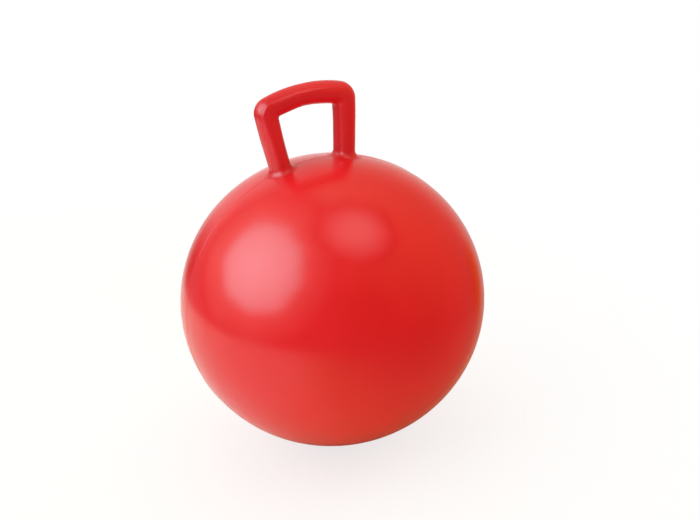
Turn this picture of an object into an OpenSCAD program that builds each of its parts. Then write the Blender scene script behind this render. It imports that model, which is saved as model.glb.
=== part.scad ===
// Hopper ball: a blown-up vinyl ball that stands on the flat patch its own weight presses, with a
// hollow loop handle rooted in its top and an air valve with a push-in plug in the middle of its
// back. Millimetres, +Z up, handle in the XZ plane, origin on the floor under the ball's middle.

/* [Ball] */
// Width of the blown-up ball across its middle
ball_w = 450; // [380:1:660]
// How much less the ball measures from pole to pole than across its middle
ball_drop = 18; // [5:1:30]
// Thickness of the vinyl skin
skin_t = 1.2; // [0.8:0.1:4]
// Width of the flat patch that the ball stands on
patch_w = 52; // [30:1:80]

/* [Handle] */
// Distance between the middles of the two legs where they leave the ball
leg_gap = 98; // [80:1:130]
// Lean of each leg outwards, in degrees
leg_lean = 8; // [0:0.5:12]
// Height of the bar's middle line above the ball's top, at the middle of the bar
bar_rise = 92.5; // [75:0.5:120]
// Radius of the bar's arch, at its middle line
bar_arch_r = 181; // [140:1:300]
// Width of the handle's tube, seen from the front
tube_w = 31; // [24:0.5:34]
// Depth of the handle's tube, front to back
tube_d = 39; // [35:0.5:46]
// Thickness of the handle's wall
tube_t = 4; // [2:0.1:6]
// Radius round the outside of the handle's corners
corner_out_r = 24; // [20:0.5:30]
// Radius inside the handle's corners
corner_in_r = 4.5; // [3:0.5:9]
// Height of the soft root collar between the ball and the leg, along the leg
root_h = 9; // [8:0.5:14]
// Radius of the collar's flare
flare_r = 8; // [5:0.5:10]

/* [Valve] */
// Diameter of the bore that the plug seals and the pump blows through
bore_d = 8; // [5:0.5:10]
// Diameter of the valve seat's neck, and of its hole in the skin
neck_d = 27; // [25:0.5:34]
// Length of the valve seat, from the ball's face inwards
seat_len = 16; // [12:0.5:24]
// Diameter of the seat's flange, inside the skin
flange_d = 44; // [38:1:60]
// Thickness of the seat's flange at its rim
flange_t = 2.4; // [1.5:0.1:4]
// Diameter of the plug's head
head_d = 17.4; // [14:0.2:19]
// Thickness of the plug's head
head_t = 2.2; // [1.6:0.1:3]
// Length of the plug's shank, under its head
shank_len = 19; // [16:0.5:26]
// Number of sealing ribs on the shank
rib_count = 4; // [2:1:5]

/* [Hidden] */
$fn = 180;

// Overrun of every cut past the face that it opens
over = 1;
// Gap between the plug's head and the dish that holds it, all round
head_gap = 0.3;
// Running gap between the plug's ribs and the bore
bore_gap = 0.05;
// Depth of the plug's head below the ball's face
sunk = 0.3;
// Depth of the grooves between the plug's ribs
groove_deep = 0.7;
// Length of each sealing rib
rib_len = 2.4;
// Bevel of the bore's two mouths and of the plug's tip
bevel = 1;
// Rounding of the plug's head
head_round = 0.8;
// Diameter of the boss inside the flange
boss_d = 19;
// Radius of the notch for a thumbnail in the dish's rim
notch_r = 3.5;
// Straight stretch at the top of the root collar, above its flare
collar_straight = 2;
// Angle at which the flare's curve ends and its straight skirt begins
flare_end = 60;
// Length of the flare's straight skirt, most of it inside the ball before the trim
skirt = 16;
// Steps in the flare's curve
flare_steps = 6;
// Flats round the handle's tube, a multiple of 4
tube_flats = 28;
// Steps along each corner of the handle
corner_steps = 6;
// Steps along the bar's arch
arch_steps = 8;
// Gap between the loop's feet and the root collars, which lets the loop rock
foot_gap = 0.05;
// Turn of the ball surface's seam about its axis, clear of the legs and the valve
seam_turn = 225;

// Shift of the arcs' middles in an oval of four arcs that meet at 45 degrees: the side arcs' radius
// is the short half axis plus this, the end arcs' radius the long half axis less this
function oval_shift(long, short) = (long - short) * cos(45) / (2 * cos(45) - 1);

// Ball: meridian arcs at the equator and at the poles
ball_a = ball_w / 2;
ball_c = (ball_w - ball_drop) / 2;
ball_shift = oval_shift(ball_a, ball_c);
pole_r = ball_c + ball_shift;
patch_deep = pole_r - sqrt(pole_r * pole_r - patch_w * patch_w / 4);
ball_z = ball_c - patch_deep;
// Height of the ball's skin over the floor at a distance x from the axis, near the top
function skin_z(x) = ball_z - ball_shift + sqrt(pole_r * pole_r - x * x);

// Handle: each leg's axis crosses the skin at [leg_x, leg_z]
leg_x = leg_gap / 2;
leg_z = skin_z(leg_x);
leg_axis = [sin(leg_lean), cos(leg_lean)];
leg_out = [cos(leg_lean), -sin(leg_lean)];
bar_z = ball_z + ball_c + bar_rise;
arch_z = bar_z - bar_arch_r;

// Corner whose middle line has radius r, touching the leg's axis and the arch: its middle, measured
// from the arch's, and the angle above +X where the arch begins
function corner(r) =
    let (foot = [leg_x, leg_z - arch_z] - r * leg_out, along = foot * leg_axis,
         run = sqrt(along * along - foot * foot + pow(bar_arch_r - r, 2)) - along,
         mid = foot + run * leg_axis)
    [mid, atan2(mid.y, mid.x)];

// Stations of a middle line with corners of radius r, from the right foot to the left one, each a
// point measured from the arch's middle and the angle of the outward normal
function right_line(r) =
    let (c = corner(r))
    concat(
        [[[leg_x, leg_z - arch_z] + (root_h + foot_gap) * leg_axis, -leg_lean]],
        [for (i = [0 : corner_steps])
            let (a = -leg_lean + (c[1] + leg_lean) * i / corner_steps)
            [c[0] + r * [cos(a), sin(a)], a]]);
function arch_line(r) =
    let (start = corner(r)[1])
    [for (i = [1 : arch_steps - 1])
        let (a = start + (180 - 2 * start) * i / arch_steps)
        [bar_arch_r * [cos(a), sin(a)], a]];
function flipped(line) =
    [for (i = [len(line) - 1 : -1 : 0]) [[-line[i][0].x, line[i][0].y], 180 - line[i][1]]];
function middle_line(r) = concat(right_line(r), arch_line(r), flipped(right_line(r)));

// The tube's outer half follows one middle line and its inner half another, so that each side of a
// corner has its own radius
outer_line = middle_line(corner_out_r - tube_w / 2);
inner_line = middle_line(corner_in_r + tube_w / 2);
rings = len(outer_line);

// Ring of points round the tube at a station, less inset
function tube_ring(k, inset) =
    [for (j = [0 : tube_flats - 1])
        let (u = 360 * j / tube_flats, out = (tube_w / 2 - inset) * cos(u),
             station = out >= 0 ? outer_line[k] : inner_line[k],
             p = station[0] + out * [cos(station[1]), sin(station[1])])
        [p.x, (tube_d / 2 - inset) * sin(u), arch_z + p.y]];

// Valve: measured from the ball's middle along +Y
face_y = ball_a;
dish_d = head_d + 2 * head_gap;
dish_floor = face_y - sunk - head_t;
seat_in = face_y - seat_len;
bulge_r = ball_a - ball_shift - skin_t;
flange_sag = bulge_r - sqrt(bulge_r * bulge_r - flange_d * flange_d / 4);
flange_in = face_y - skin_t - flange_sag - flange_t;
rib_step = (shank_len - bevel - rib_len) / (rib_count - 1);

// Oval of four arcs, with its long half axis along x
module oval(long, short) {
    shift = oval_shift(long, short);
    end_r = long - shift;
    side_r = short + shift;
    join_x = side_r * cos(45);
    intersection() {
        translate([0, -shift]) circle(side_r);
        translate([0, shift]) circle(side_r);
        union() {
            translate([shift, 0]) circle(end_r);
            translate([-shift, 0]) circle(end_r);
            square([2 * join_x, 2 * side_r], center = true);
        }
    }
}

// Solid of the ball's outer form less inset all over, flat where it stands
module ball_form(inset) {
    translate([0, 0, ball_z]) rotate(seam_turn)
        rotate_extrude() intersection() {
            oval(ball_a - inset, ball_c - inset);
            translate([0, inset - ball_z]) square([ball_w, 2 * ball_w]);
        }
}

// Section of the handle's tube less inset: x lies across the tube, y front to back
module tube_section(inset) {
    scale([tube_w - 2 * inset, tube_d - 2 * inset]) circle(d = 1);
}

// Places something drawn along +Z from the skin on the right leg's axis
module on_leg() {
    translate([leg_x, 0, leg_z]) rotate([0, leg_lean, 0]) children();
}

// Both halves of something drawn for the right leg
module both_sides() {
    children();
    mirror([1, 0, 0]) children();
}

// One hollow tube from foot to foot: an outer wall, an inner wall and a ring across each foot
module handle_loop() {
    points = [for (inset = [0, tube_t], k = [0 : rings - 1]) each tube_ring(k, inset)];
    inner = rings * tube_flats;
    last = inner - tube_flats;
    to_inner = inner * [1, 1, 1];
    faces = [for (j = [0 : tube_flats - 1])
        let (next = (j + 1) % tube_flats)
        each concat(
            [for (k = [0 : tube_flats : last - 1])
                let (a = k + j, b = k + next, c = b + tube_flats, d = a + tube_flats)
                each [[a, d, c], [a, c, b], to_inner + [a, c, d], to_inner + [a, b, c]]],
            [[j, next, inner + next, inner + j],
             [last + j, last + inner + j, last + inner + next, last + next]])];
    color("firebrick") polyhedron(points, faces);
}

// Air passage from the ball into the right leg, up to a distance above the skin
module passage(top) {
    low = -flare_r - skirt;
    on_leg() translate([0, 0, low]) linear_extrude(top - low) tube_section(tube_t);
}

// Half section of the collar, with the leg's end at height 0 and the front of the tube at tube_d / 2
module flare_section() {
    r = tube_d / 2;
    curve = [for (i = [0 : flare_steps])
        let (a = flare_end * i / flare_steps)
        [r + flare_r * (1 - cos(a)), -collar_straight - flare_r * sin(a)]];
    rim = curve[flare_steps] + skirt * [sin(flare_end), -cos(flare_end)];
    polygon(concat([[0, 0], [r, 0]], curve, [rim, [0, rim.y]]));
}

// The collar takes the tube's oval from a round flare pressed narrower across the leg
module handle_root_right() {
    color("firebrick") difference() {
        on_leg() translate([0, 0, root_h]) scale([tube_w / tube_d, 1, 1])
            rotate_extrude() flare_section();
        passage(root_h + over);
        ball_form(0);
    }
}

module handle_root_left() {
    mirror([1, 0, 0]) handle_root_right();
}

// Places something drawn along +Z, with 0 at the ball's middle, along the valve's axis
module along_valve() {
    translate([0, 0, ball_z]) rotate([-90, 0, 0]) children();
}

module ball_skin() {
    color("red") difference() {
        ball_form(0);
        ball_form(skin_t);
        both_sides() passage(root_h);
        along_valve() translate([0, 0, seat_in]) cylinder(d = neck_d, h = seat_len + over);
    }
}

module valve_seat() {
    color("firebrick") difference() {
        union() {
            intersection() {
                ball_form(0);
                along_valve() translate([0, 0, flange_in])
                    cylinder(d = neck_d, h = face_y - flange_in + over);
            }
            intersection() {
                ball_form(skin_t);
                along_valve() translate([0, 0, flange_in]) cylinder(d = flange_d, h = face_y - flange_in);
            }
            along_valve() translate([0, 0, seat_in]) cylinder(d = boss_d, h = flange_in - seat_in + flange_t);
        }
        along_valve() {
            translate([0, 0, dish_floor]) cylinder(d = dish_d, h = head_t + sunk + over);
            translate([0, 0, seat_in - over]) cylinder(d = bore_d, h = seat_len + 2 * over);
            translate([0, 0, seat_in - over])
                cylinder(d1 = bore_d + 2 * (bevel + over), d2 = bore_d, h = bevel + over);
            translate([0, dish_d / 2, dish_floor]) cylinder(r = notch_r, h = head_t + sunk + over);
        }
    }
}

// Half section of the plug: shank with sealing ribs, and a round-edged head
module plug_section() {
    rib_r = bore_d / 2 - bore_gap;
    groove_r = rib_r - groove_deep;
    tip = dish_floor - shank_len;
    translate([0, tip]) square([groove_r, shank_len + head_t]);
    for (i = [0 : rib_count - 1])
        translate([0, tip + bevel + i * rib_step]) square([rib_r, rib_len]);
    polygon([[0, tip], [groove_r, tip], [rib_r, tip + bevel], [0, tip + bevel]]);
    translate([0, dish_floor]) square([head_d / 2, head_t - head_round]);
    translate([0, dish_floor]) square([head_d / 2 - head_round, head_t]);
    translate([head_d / 2 - head_round, dish_floor + head_t - head_round]) circle(head_round);
}

module valve_plug() {
    color("ivory") along_valve() rotate_extrude() plug_section();
}

ball_skin();
handle_root_left();
handle_root_right();
valve_seat();
handle_loop();
valve_plug();
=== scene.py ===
"""Hopper ball: a blown-up vinyl ball, the loop handle on its top and the air valve in its back.

Everything is in metres in the CAD frame: +Z up, the handle in the XZ plane, the valve at +Y, and the
origin on the floor under the ball's middle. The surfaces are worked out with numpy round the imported
model, which gives the places and outer sizes of the ball, the handle and the valve.
"""
import logging
import math
from dataclasses import dataclass
from enum import Enum
from typing import Any

import bpy
import numpy as np
from mathutils import Matrix, Vector


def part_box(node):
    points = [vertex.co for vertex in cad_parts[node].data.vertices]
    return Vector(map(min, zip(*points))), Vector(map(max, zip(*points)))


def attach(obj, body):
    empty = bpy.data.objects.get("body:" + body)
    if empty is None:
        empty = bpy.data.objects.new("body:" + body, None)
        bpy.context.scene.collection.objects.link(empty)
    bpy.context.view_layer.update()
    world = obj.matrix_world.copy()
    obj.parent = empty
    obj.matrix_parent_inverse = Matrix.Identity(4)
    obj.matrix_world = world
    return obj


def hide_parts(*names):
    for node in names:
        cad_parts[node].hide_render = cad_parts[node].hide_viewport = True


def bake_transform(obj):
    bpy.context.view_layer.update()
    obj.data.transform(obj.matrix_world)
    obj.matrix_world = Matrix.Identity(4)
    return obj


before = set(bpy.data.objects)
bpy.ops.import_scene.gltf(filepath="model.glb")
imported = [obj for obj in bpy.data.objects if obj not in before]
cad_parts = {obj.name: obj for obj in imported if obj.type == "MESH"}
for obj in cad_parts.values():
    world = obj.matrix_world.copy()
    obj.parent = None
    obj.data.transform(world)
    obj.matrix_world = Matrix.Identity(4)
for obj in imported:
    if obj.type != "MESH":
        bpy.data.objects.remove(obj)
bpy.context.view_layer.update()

MM = 0.001
Tree = bpy.types.NodeTree
Socket = bpy.types.NodeSocket
Values = np.ndarray | float
log = logging.getLogger("hopper_ball")


# Helpers

def linear(code: str) -> tuple[float, float, float, float]:
    """Turns an sRGB hex colour into Blender's linear colour.

    Args:
        code: six hex digits, with or without a leading sign.

    Returns:
        Linear red, green and blue, and an alpha of 1.
    """
    digits = code.lstrip("#")
    parts = [int(digits[i:i + 2], 16) / 255 for i in (0, 2, 4)]
    red, green, blue = [p / 12.92 if p <= 0.04045 else ((p + 0.055) / 1.055) ** 2.4 for p in parts]
    return red, green, blue, 1.0


def add_node(tree: Tree, kind: str, inputs: dict[Any, Any] | None = None,
             **settings: Any) -> bpy.types.Node:
    """Adds a node to a tree, sets it and links it.

    Args:
        tree: the material's or world's node tree.
        kind: the node's type name in Blender.
        inputs: input name or number to its value, or to the output socket that feeds it.
        **settings: the node's own properties.

    Returns:
        The new node.
    """
    node = tree.nodes.new(kind)
    for name, value in settings.items():
        setattr(node, name, value)
    for name, value in (inputs or {}).items():
        if isinstance(value, Socket):
            tree.links.new(value, node.inputs[name])
        else:
            node.inputs[name].default_value = value
    return node


def empty_material(name: str) -> tuple[bpy.types.Material, Tree]:
    """Makes a material with an empty node tree.

    Args:
        name: the material's name.

    Returns:
        The material and its node tree.
    """
    material = bpy.data.materials.new(name)
    material.use_nodes = True
    material.node_tree.nodes.clear()
    return material, material.node_tree


def rise_along(tree: Tree, place: Socket, axis: tuple[float, float, float],
               span: tuple[float, float], values: tuple[float, float] = (0.0, 1.0)) -> Socket:
    """Adds a value that changes evenly along an axis and is clamped past its ends.

    Args:
        tree: the material's or world's node tree.
        place: socket that gives the place or direction.
        axis: the axis; for a direction the distance along it is the cosine of their angle.
        span: distances along the axis at which the change begins and ends.
        values: the value at each of the two.

    Returns:
        The socket that gives the value.
    """
    along = add_node(tree, "ShaderNodeVectorMath", {0: place, 1: axis}, operation="DOT_PRODUCT")
    value = add_node(tree, "ShaderNodeMapRange", {
        "Value": along.outputs[1], 1: span[0], 2: span[1], 3: values[0], 4: values[1]})
    return value.outputs[0]


def ray_kinds(tree: Tree) -> tuple[Socket, Socket]:
    """Adds values that tell how a ray comes to the surface or the world.

    Args:
        tree: the material's or world's node tree.

    Returns:
        A socket that is 1 for a ray from the camera or through glass, and one that is 1 for a ray
        mirrored in gloss.
    """
    path = add_node(tree, "ShaderNodeLightPath")
    seen = add_node(tree, "ShaderNodeMath", {
        0: path.outputs["Is Camera Ray"], 1: path.outputs["Is Transmission Ray"]}, operation="MAXIMUM")
    return seen.outputs[0], path.outputs["Is Glossy Ray"]


def axes_at(azimuth: float, elevation: float) -> tuple[np.ndarray, np.ndarray, np.ndarray]:
    """Axes of something that looks at the ball.

    Args:
        azimuth: where it is, in degrees from the front towards +X.
        elevation: how high it is, in degrees over the ball's middle.

    Returns:
        Unit vectors from the ball towards it, to its right and up.
    """
    a, e = math.radians(azimuth), math.radians(elevation)
    towards = np.array([math.sin(a) * math.cos(e), -math.cos(a) * math.cos(e), math.sin(e)])
    right = np.array([math.cos(a), math.sin(a), 0.0])
    return towards, right, np.cross(towards, right)


def smooth_step(x: Values) -> Values:
    """Rises from 0 to 1 with level ends as x goes from 0 to 1, and is clamped outside."""
    t = np.clip(x, 0.0, 1.0)
    return t * t * (3.0 - 2.0 * t)


def unit(vectors: np.ndarray) -> np.ndarray:
    """Scales vectors, kept along the last axis, to length 1."""
    return vectors / np.linalg.norm(vectors, axis=-1, keepdims=True)


def fine_steps(start: float, stop: float, count: int, lines: tuple[float, ...],
               width: float) -> np.ndarray:
    """Evenly spaced values with extra ones close to each line that needs fine detail.

    Args:
        start: first value.
        stop: last value.
        count: number of even values.
        lines: values where a fine ridge runs.
        width: half width of that ridge.

    Returns:
        The values in rising order.
    """
    near = width * np.array([-4.0, -2.4, -1.6, -1.1, -0.7, -0.35, 0.0, 0.35, 0.7, 1.1, 1.6, 2.4, 4.0])
    even = np.linspace(start, stop, count)
    reach = 4.5 * width
    kept = even[np.all([np.abs(even - line) > reach for line in lines], axis=0)]
    steps = np.concatenate([kept, *[line + near for line in lines]])
    return np.unique(np.clip(steps, start, stop))


def round_corners(corners: np.ndarray, reach: np.ndarray, steps: int) -> np.ndarray:
    """Rounds each corner of an open outline with the curve (1-t)^2 A + 2t(1-t) P + t^2 B.

    Args:
        corners: outline points P, as rows of two numbers.
        reach: how far before and after each corner the curve's ends A and B lie.
        steps: points on each curve.

    Returns:
        The outline with its corners rounded.
    """
    before = np.vstack([corners[:1], corners[:-1]])
    after = np.vstack([corners[1:], corners[-1:]])
    to_before, to_after = before - corners, after - corners
    long_before = np.maximum(np.linalg.norm(to_before, axis=1), 1e-9)
    long_after = np.maximum(np.linalg.norm(to_after, axis=1), 1e-9)
    first = corners + to_before / long_before[:, None] * np.minimum(reach, 0.45 * long_before)[:, None]
    last = corners + to_after / long_after[:, None] * np.minimum(reach, 0.45 * long_after)[:, None]
    t = np.linspace(0.0, 1.0, steps)[None, :, None]
    curves = (1 - t) ** 2 * first[:, None] + 2 * t * (1 - t) * corners[:, None] + t ** 2 * last[:, None]
    return np.vstack([corners[:1], curves[1:-1].reshape(-1, 2), corners[-1:]])


@dataclass
class Surface:
    """A grid of points that closes round its columns.

    Attributes:
        points: rows x columns x 3 places in metres.
        start_closed: the first row is closed with a fan to its middle.
        end_closed: the last row is closed with a fan to its middle.
        looped: the last row is joined to the first.
    """

    points: np.ndarray
    start_closed: bool = False
    end_closed: bool = False
    looped: bool = False

    def faces(self) -> tuple[np.ndarray, np.ndarray, np.ndarray]:
        """Works out the grid's faces.

        Returns:
            The points, the four-sided faces and the three-sided faces, all facing outwards.
        """
        rows, columns = self.points.shape[:2]
        i, j = np.meshgrid(np.arange(rows if self.looped else rows - 1), np.arange(columns), indexing="ij")
        beside, below = (j + 1) % columns, (i + 1) % rows
        quads = np.stack([i * columns + j, i * columns + beside, below * columns + beside,
                          below * columns + j], axis=-1).reshape(-1, 4)
        places = self.points.reshape(-1, 3)
        fans = []
        k = np.arange(columns)
        for closed, row, turn in ((self.start_closed, 0, 1), (self.end_closed, rows - 1, -1)):
            if closed:
                middle = np.full(columns, len(places))
                places = np.vstack([places, self.points[row].mean(axis=0)])
                fan = np.stack([row * columns + (k + 1) % columns, row * columns + k, middle], axis=-1)
                fans.append(fan[:, ::turn])
        tris = np.vstack(fans) if fans else np.zeros((0, 3), int)
        whole = np.vstack([quads[:, [0, 1, 2]], quads[:, [0, 2, 3]], tris])
        a, b, c = (places[whole[:, n]] - places.mean(axis=0) for n in range(3))
        if np.einsum("ij,ij->", a, np.cross(b, c)) < 0:
            quads, tris = quads[:, ::-1], tris[:, ::-1]
        return places, quads, tris

    def build(self, name: str, material: bpy.types.Material) -> bpy.types.Object:
        """Makes a smooth-shaded mesh object at the origin.

        Args:
            name: the piece's name.
            material: its finish.

        Returns:
            The new object.
        """
        places, quads, tris = self.faces()
        mesh = bpy.data.meshes.new(name)
        mesh.from_pydata(places.tolist(), [], quads.tolist() + tris.tolist())
        mesh.polygons.foreach_set("use_smooth", np.ones(len(mesh.polygons), bool))
        mesh.materials.append(material)
        mesh.update()
        piece = bpy.data.objects.new(name, mesh)
        bpy.context.scene.collection.objects.link(piece)
        return piece


# Finishes

@dataclass(frozen=True)
class MouldedVinyl:
    """Soft PVC, cast by turning a hot hollow mould until the paste has set on its wall.

    The wall of the mould leaves a gloss with a faint orange peel, and the paste sets a little
    unevenly, which gives the eye slow changes of depth in the red and a few tiny flecks. Where hands
    and knees rub it, fine scratches spread its reflections, and in the narrow grip the paste's flow
    leaves faint lines along the tube.

    Attributes:
        name: the material's name.
        colour: red of most of the surface.
        deep_colour: red of its thicker patches.
        roughness: middle of the gloss's range.
        roughness_spread: how far it wanders either way.
        peel_mm: width of the orange peel's bumps, in millimetres.
        peel_deep: strength of the orange peel.
        wave_mm: width of the slow swellings, in millimetres.
        wave_deep: strength of the swellings.
        haze: weight of the thin, hazy film of plasticiser that has risen to the surface.
        scuff: strength of the fine scratches where hands and knees rub it.
        scuff_from: height at which they begin.
        scuff_to: height at which they are full.
        streak: strength of the flow lines, which run along a tube that lies in the XZ plane.
    """

    name: str
    colour: str
    deep_colour: str
    roughness: float
    roughness_spread: float
    peel_mm: float
    peel_deep: float
    wave_mm: float
    wave_deep: float
    haze: float = 0.0
    scuff: float = 0.0
    scuff_from: float = 0.0
    scuff_to: float = 1.0
    streak: float = 0.0

    def material(self) -> bpy.types.Material:
        """Builds the node material from the finish's sizes.

        Returns:
            The material.
        """
        material, tree = empty_material(self.name)
        place = add_node(tree, "ShaderNodeTexCoord").outputs["Object"]
        # Noises, by their width in mm: thicker paste, clouds of gloss, orange peel, swellings, scratches
        widths = (70, 9, self.peel_mm, self.wave_mm, 1.2)
        details = (3.0, 4.0, 2.0, 1.0, 2.0)
        slow, cloud, peel, swell, grit = [
            add_node(tree, "ShaderNodeTexNoise", {
                "Vector": place, "Scale": 1 / (width * MM), "Detail": detail}).outputs[0]
            for width, detail in zip(widths, details)]
        depth = add_node(tree, "ShaderNodeMapRange", {"Value": slow, 1: 0.3, 2: 0.7, 3: 0.0, 4: 1.0})
        red = add_node(tree, "ShaderNodeMix", {
            0: depth.outputs[0], 6: linear(self.colour), 7: linear(self.deep_colour)}, data_type="RGBA")
        # Flecks: one cell in three of a 38 mm pattern holds a dot about 1 mm across
        cells = add_node(tree, "ShaderNodeTexVoronoi", {"Vector": place, "Scale": 1 / (38 * MM)})
        dot = add_node(tree, "ShaderNodeMapRange", {
            "Value": cells.outputs["Distance"], 1: 0.010, 2: 0.018, 3: 0.45, 4: 0.0})
        tone = add_node(tree, "ShaderNodeSeparateColor", {0: cells.outputs["Color"]})
        some = add_node(tree, "ShaderNodeMath", {0: tone.outputs[0], 1: 0.66}, operation="GREATER_THAN")
        fleck = add_node(tree, "ShaderNodeMath", {0: dot.outputs[0], 1: some.outputs[0]},
                         operation="MULTIPLY")
        speckled = add_node(tree, "ShaderNodeMix", {
            0: fleck.outputs[0], 6: red.outputs[2], 7: linear("5A1416")}, data_type="RGBA")
        gloss = add_node(tree, "ShaderNodeMapRange", {
            "Value": cloud, 1: 0.25, 2: 0.75,
            3: self.roughness - self.roughness_spread, 4: self.roughness + self.roughness_spread})
        rubbed = rise_along(tree, place, (0.0, 0.0, 1.0), (self.scuff_from, self.scuff_to),
                            (0.0, self.scuff))
        # Flow lines: 2.2 mm wide across the tube, and drawn out to 32 mm along it
        drawn = add_node(tree, "ShaderNodeVectorMath", {
            0: place, 1: (1 / (32 * MM), 1 / (2.2 * MM), 1 / (32 * MM))}, operation="MULTIPLY")
        flow = add_node(tree, "ShaderNodeTexNoise", {
            "Vector": drawn.outputs[0], "Scale": 1.0, "Detail": 2.0}).outputs[0]
        # Bumps, each on the one before it: height pattern, its full height and its strength
        bumps = ((swell, self.wave_mm * MM * 0.1, self.wave_deep),
                 (peel, self.peel_mm * MM * 0.1, self.peel_deep),
                 (grit, 0.12 * MM, rubbed),
                 (flow, 0.5 * MM, self.streak))
        normals: list[Socket] = []
        for height, distance, strength in bumps:
            under = {"Normal": normals[-1]} if normals else {}
            bump = add_node(tree, "ShaderNodeBump", {
                "Height": height, "Distance": distance, "Strength": strength, **under})
            normals.append(bump.outputs[0])
        shader = add_node(tree, "ShaderNodeBsdfPrincipled", {
            "Base Color": speckled.outputs[2], "Roughness": gloss.outputs[0], "Normal": normals[-1],
            "IOR": 1.54, "Coat Weight": self.haze, "Coat Roughness": 0.45, "Coat Normal": normals[1]})
        add_node(tree, "ShaderNodeOutputMaterial", {"Surface": shader.outputs[0]})
        return material


@dataclass(frozen=True)
class PressedVinyl:
    """Semi-rigid PVC, injection moulded between polished steel halves.

    The steel leaves it even and softly shiny, age turns it a shade yellower in patches, and hands
    leave a grey film round the edge of its head.

    Attributes:
        name: the material's name.
        colour: colour of most of the surface.
        aged_colour: colour of its yellowed patches.
        film_colour: colour of the film that handling leaves.
        roughness: gloss.
        middle: the axis that the film lies round, in metres.
        film_from: distance from the axis where the film begins.
        film_to: distance where it is thickest.
    """

    name: str
    colour: str
    aged_colour: str
    film_colour: str
    roughness: float
    middle: tuple[float, float, float]
    film_from: float
    film_to: float

    def material(self) -> bpy.types.Material:
        """Builds the node material from the finish's sizes.

        Returns:
            The material.
        """
        material, tree = empty_material(self.name)
        place = add_node(tree, "ShaderNodeTexCoord").outputs["Object"]
        patches = add_node(tree, "ShaderNodeTexNoise", {
            "Vector": place, "Scale": 1 / (6 * MM), "Detail": 4.0})
        aged = add_node(tree, "ShaderNodeMix", {
            0: patches.outputs[0], 6: linear(self.colour), 7: linear(self.aged_colour)}, data_type="RGBA")
        centred = add_node(tree, "ShaderNodeVectorMath", {0: place, 1: self.middle}, operation="SUBTRACT")
        flat = add_node(tree, "ShaderNodeVectorMath", {0: centred.outputs[0], 1: (1.0, 0.0, 1.0)},
                        operation="MULTIPLY")
        away = add_node(tree, "ShaderNodeVectorMath", {0: flat.outputs[0]}, operation="LENGTH")
        edge = add_node(tree, "ShaderNodeMapRange", {
            "Value": away.outputs[1], 1: self.film_from, 2: self.film_to, 3: 0.0, 4: 0.55})
        film = add_node(tree, "ShaderNodeMath", {0: edge.outputs[0], 1: patches.outputs[0]},
                        operation="MULTIPLY")
        colour = add_node(tree, "ShaderNodeMix", {
            0: film.outputs[0], 6: aged.outputs[2], 7: linear(self.film_colour)}, data_type="RGBA")
        grain = add_node(tree, "ShaderNodeTexNoise", {
            "Vector": place, "Scale": 1 / (0.8 * MM), "Detail": 2.0})
        bump = add_node(tree, "ShaderNodeBump", {
            "Height": grain.outputs[0], "Distance": 0.05 * MM, "Strength": 0.3})
        gloss = add_node(tree, "ShaderNodeMapRange", {
            "Value": patches.outputs[0], 1: 0.2, 2: 0.8,
            3: self.roughness - 0.06, 4: self.roughness + 0.08})
        shader = add_node(tree, "ShaderNodeBsdfPrincipled", {
            "Base Color": colour.outputs[2], "Roughness": gloss.outputs[0], "Normal": bump.outputs[0],
            "IOR": 1.53})
        add_node(tree, "ShaderNodeOutputMaterial", {"Surface": shader.outputs[0]})
        return material


# The ball

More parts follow.
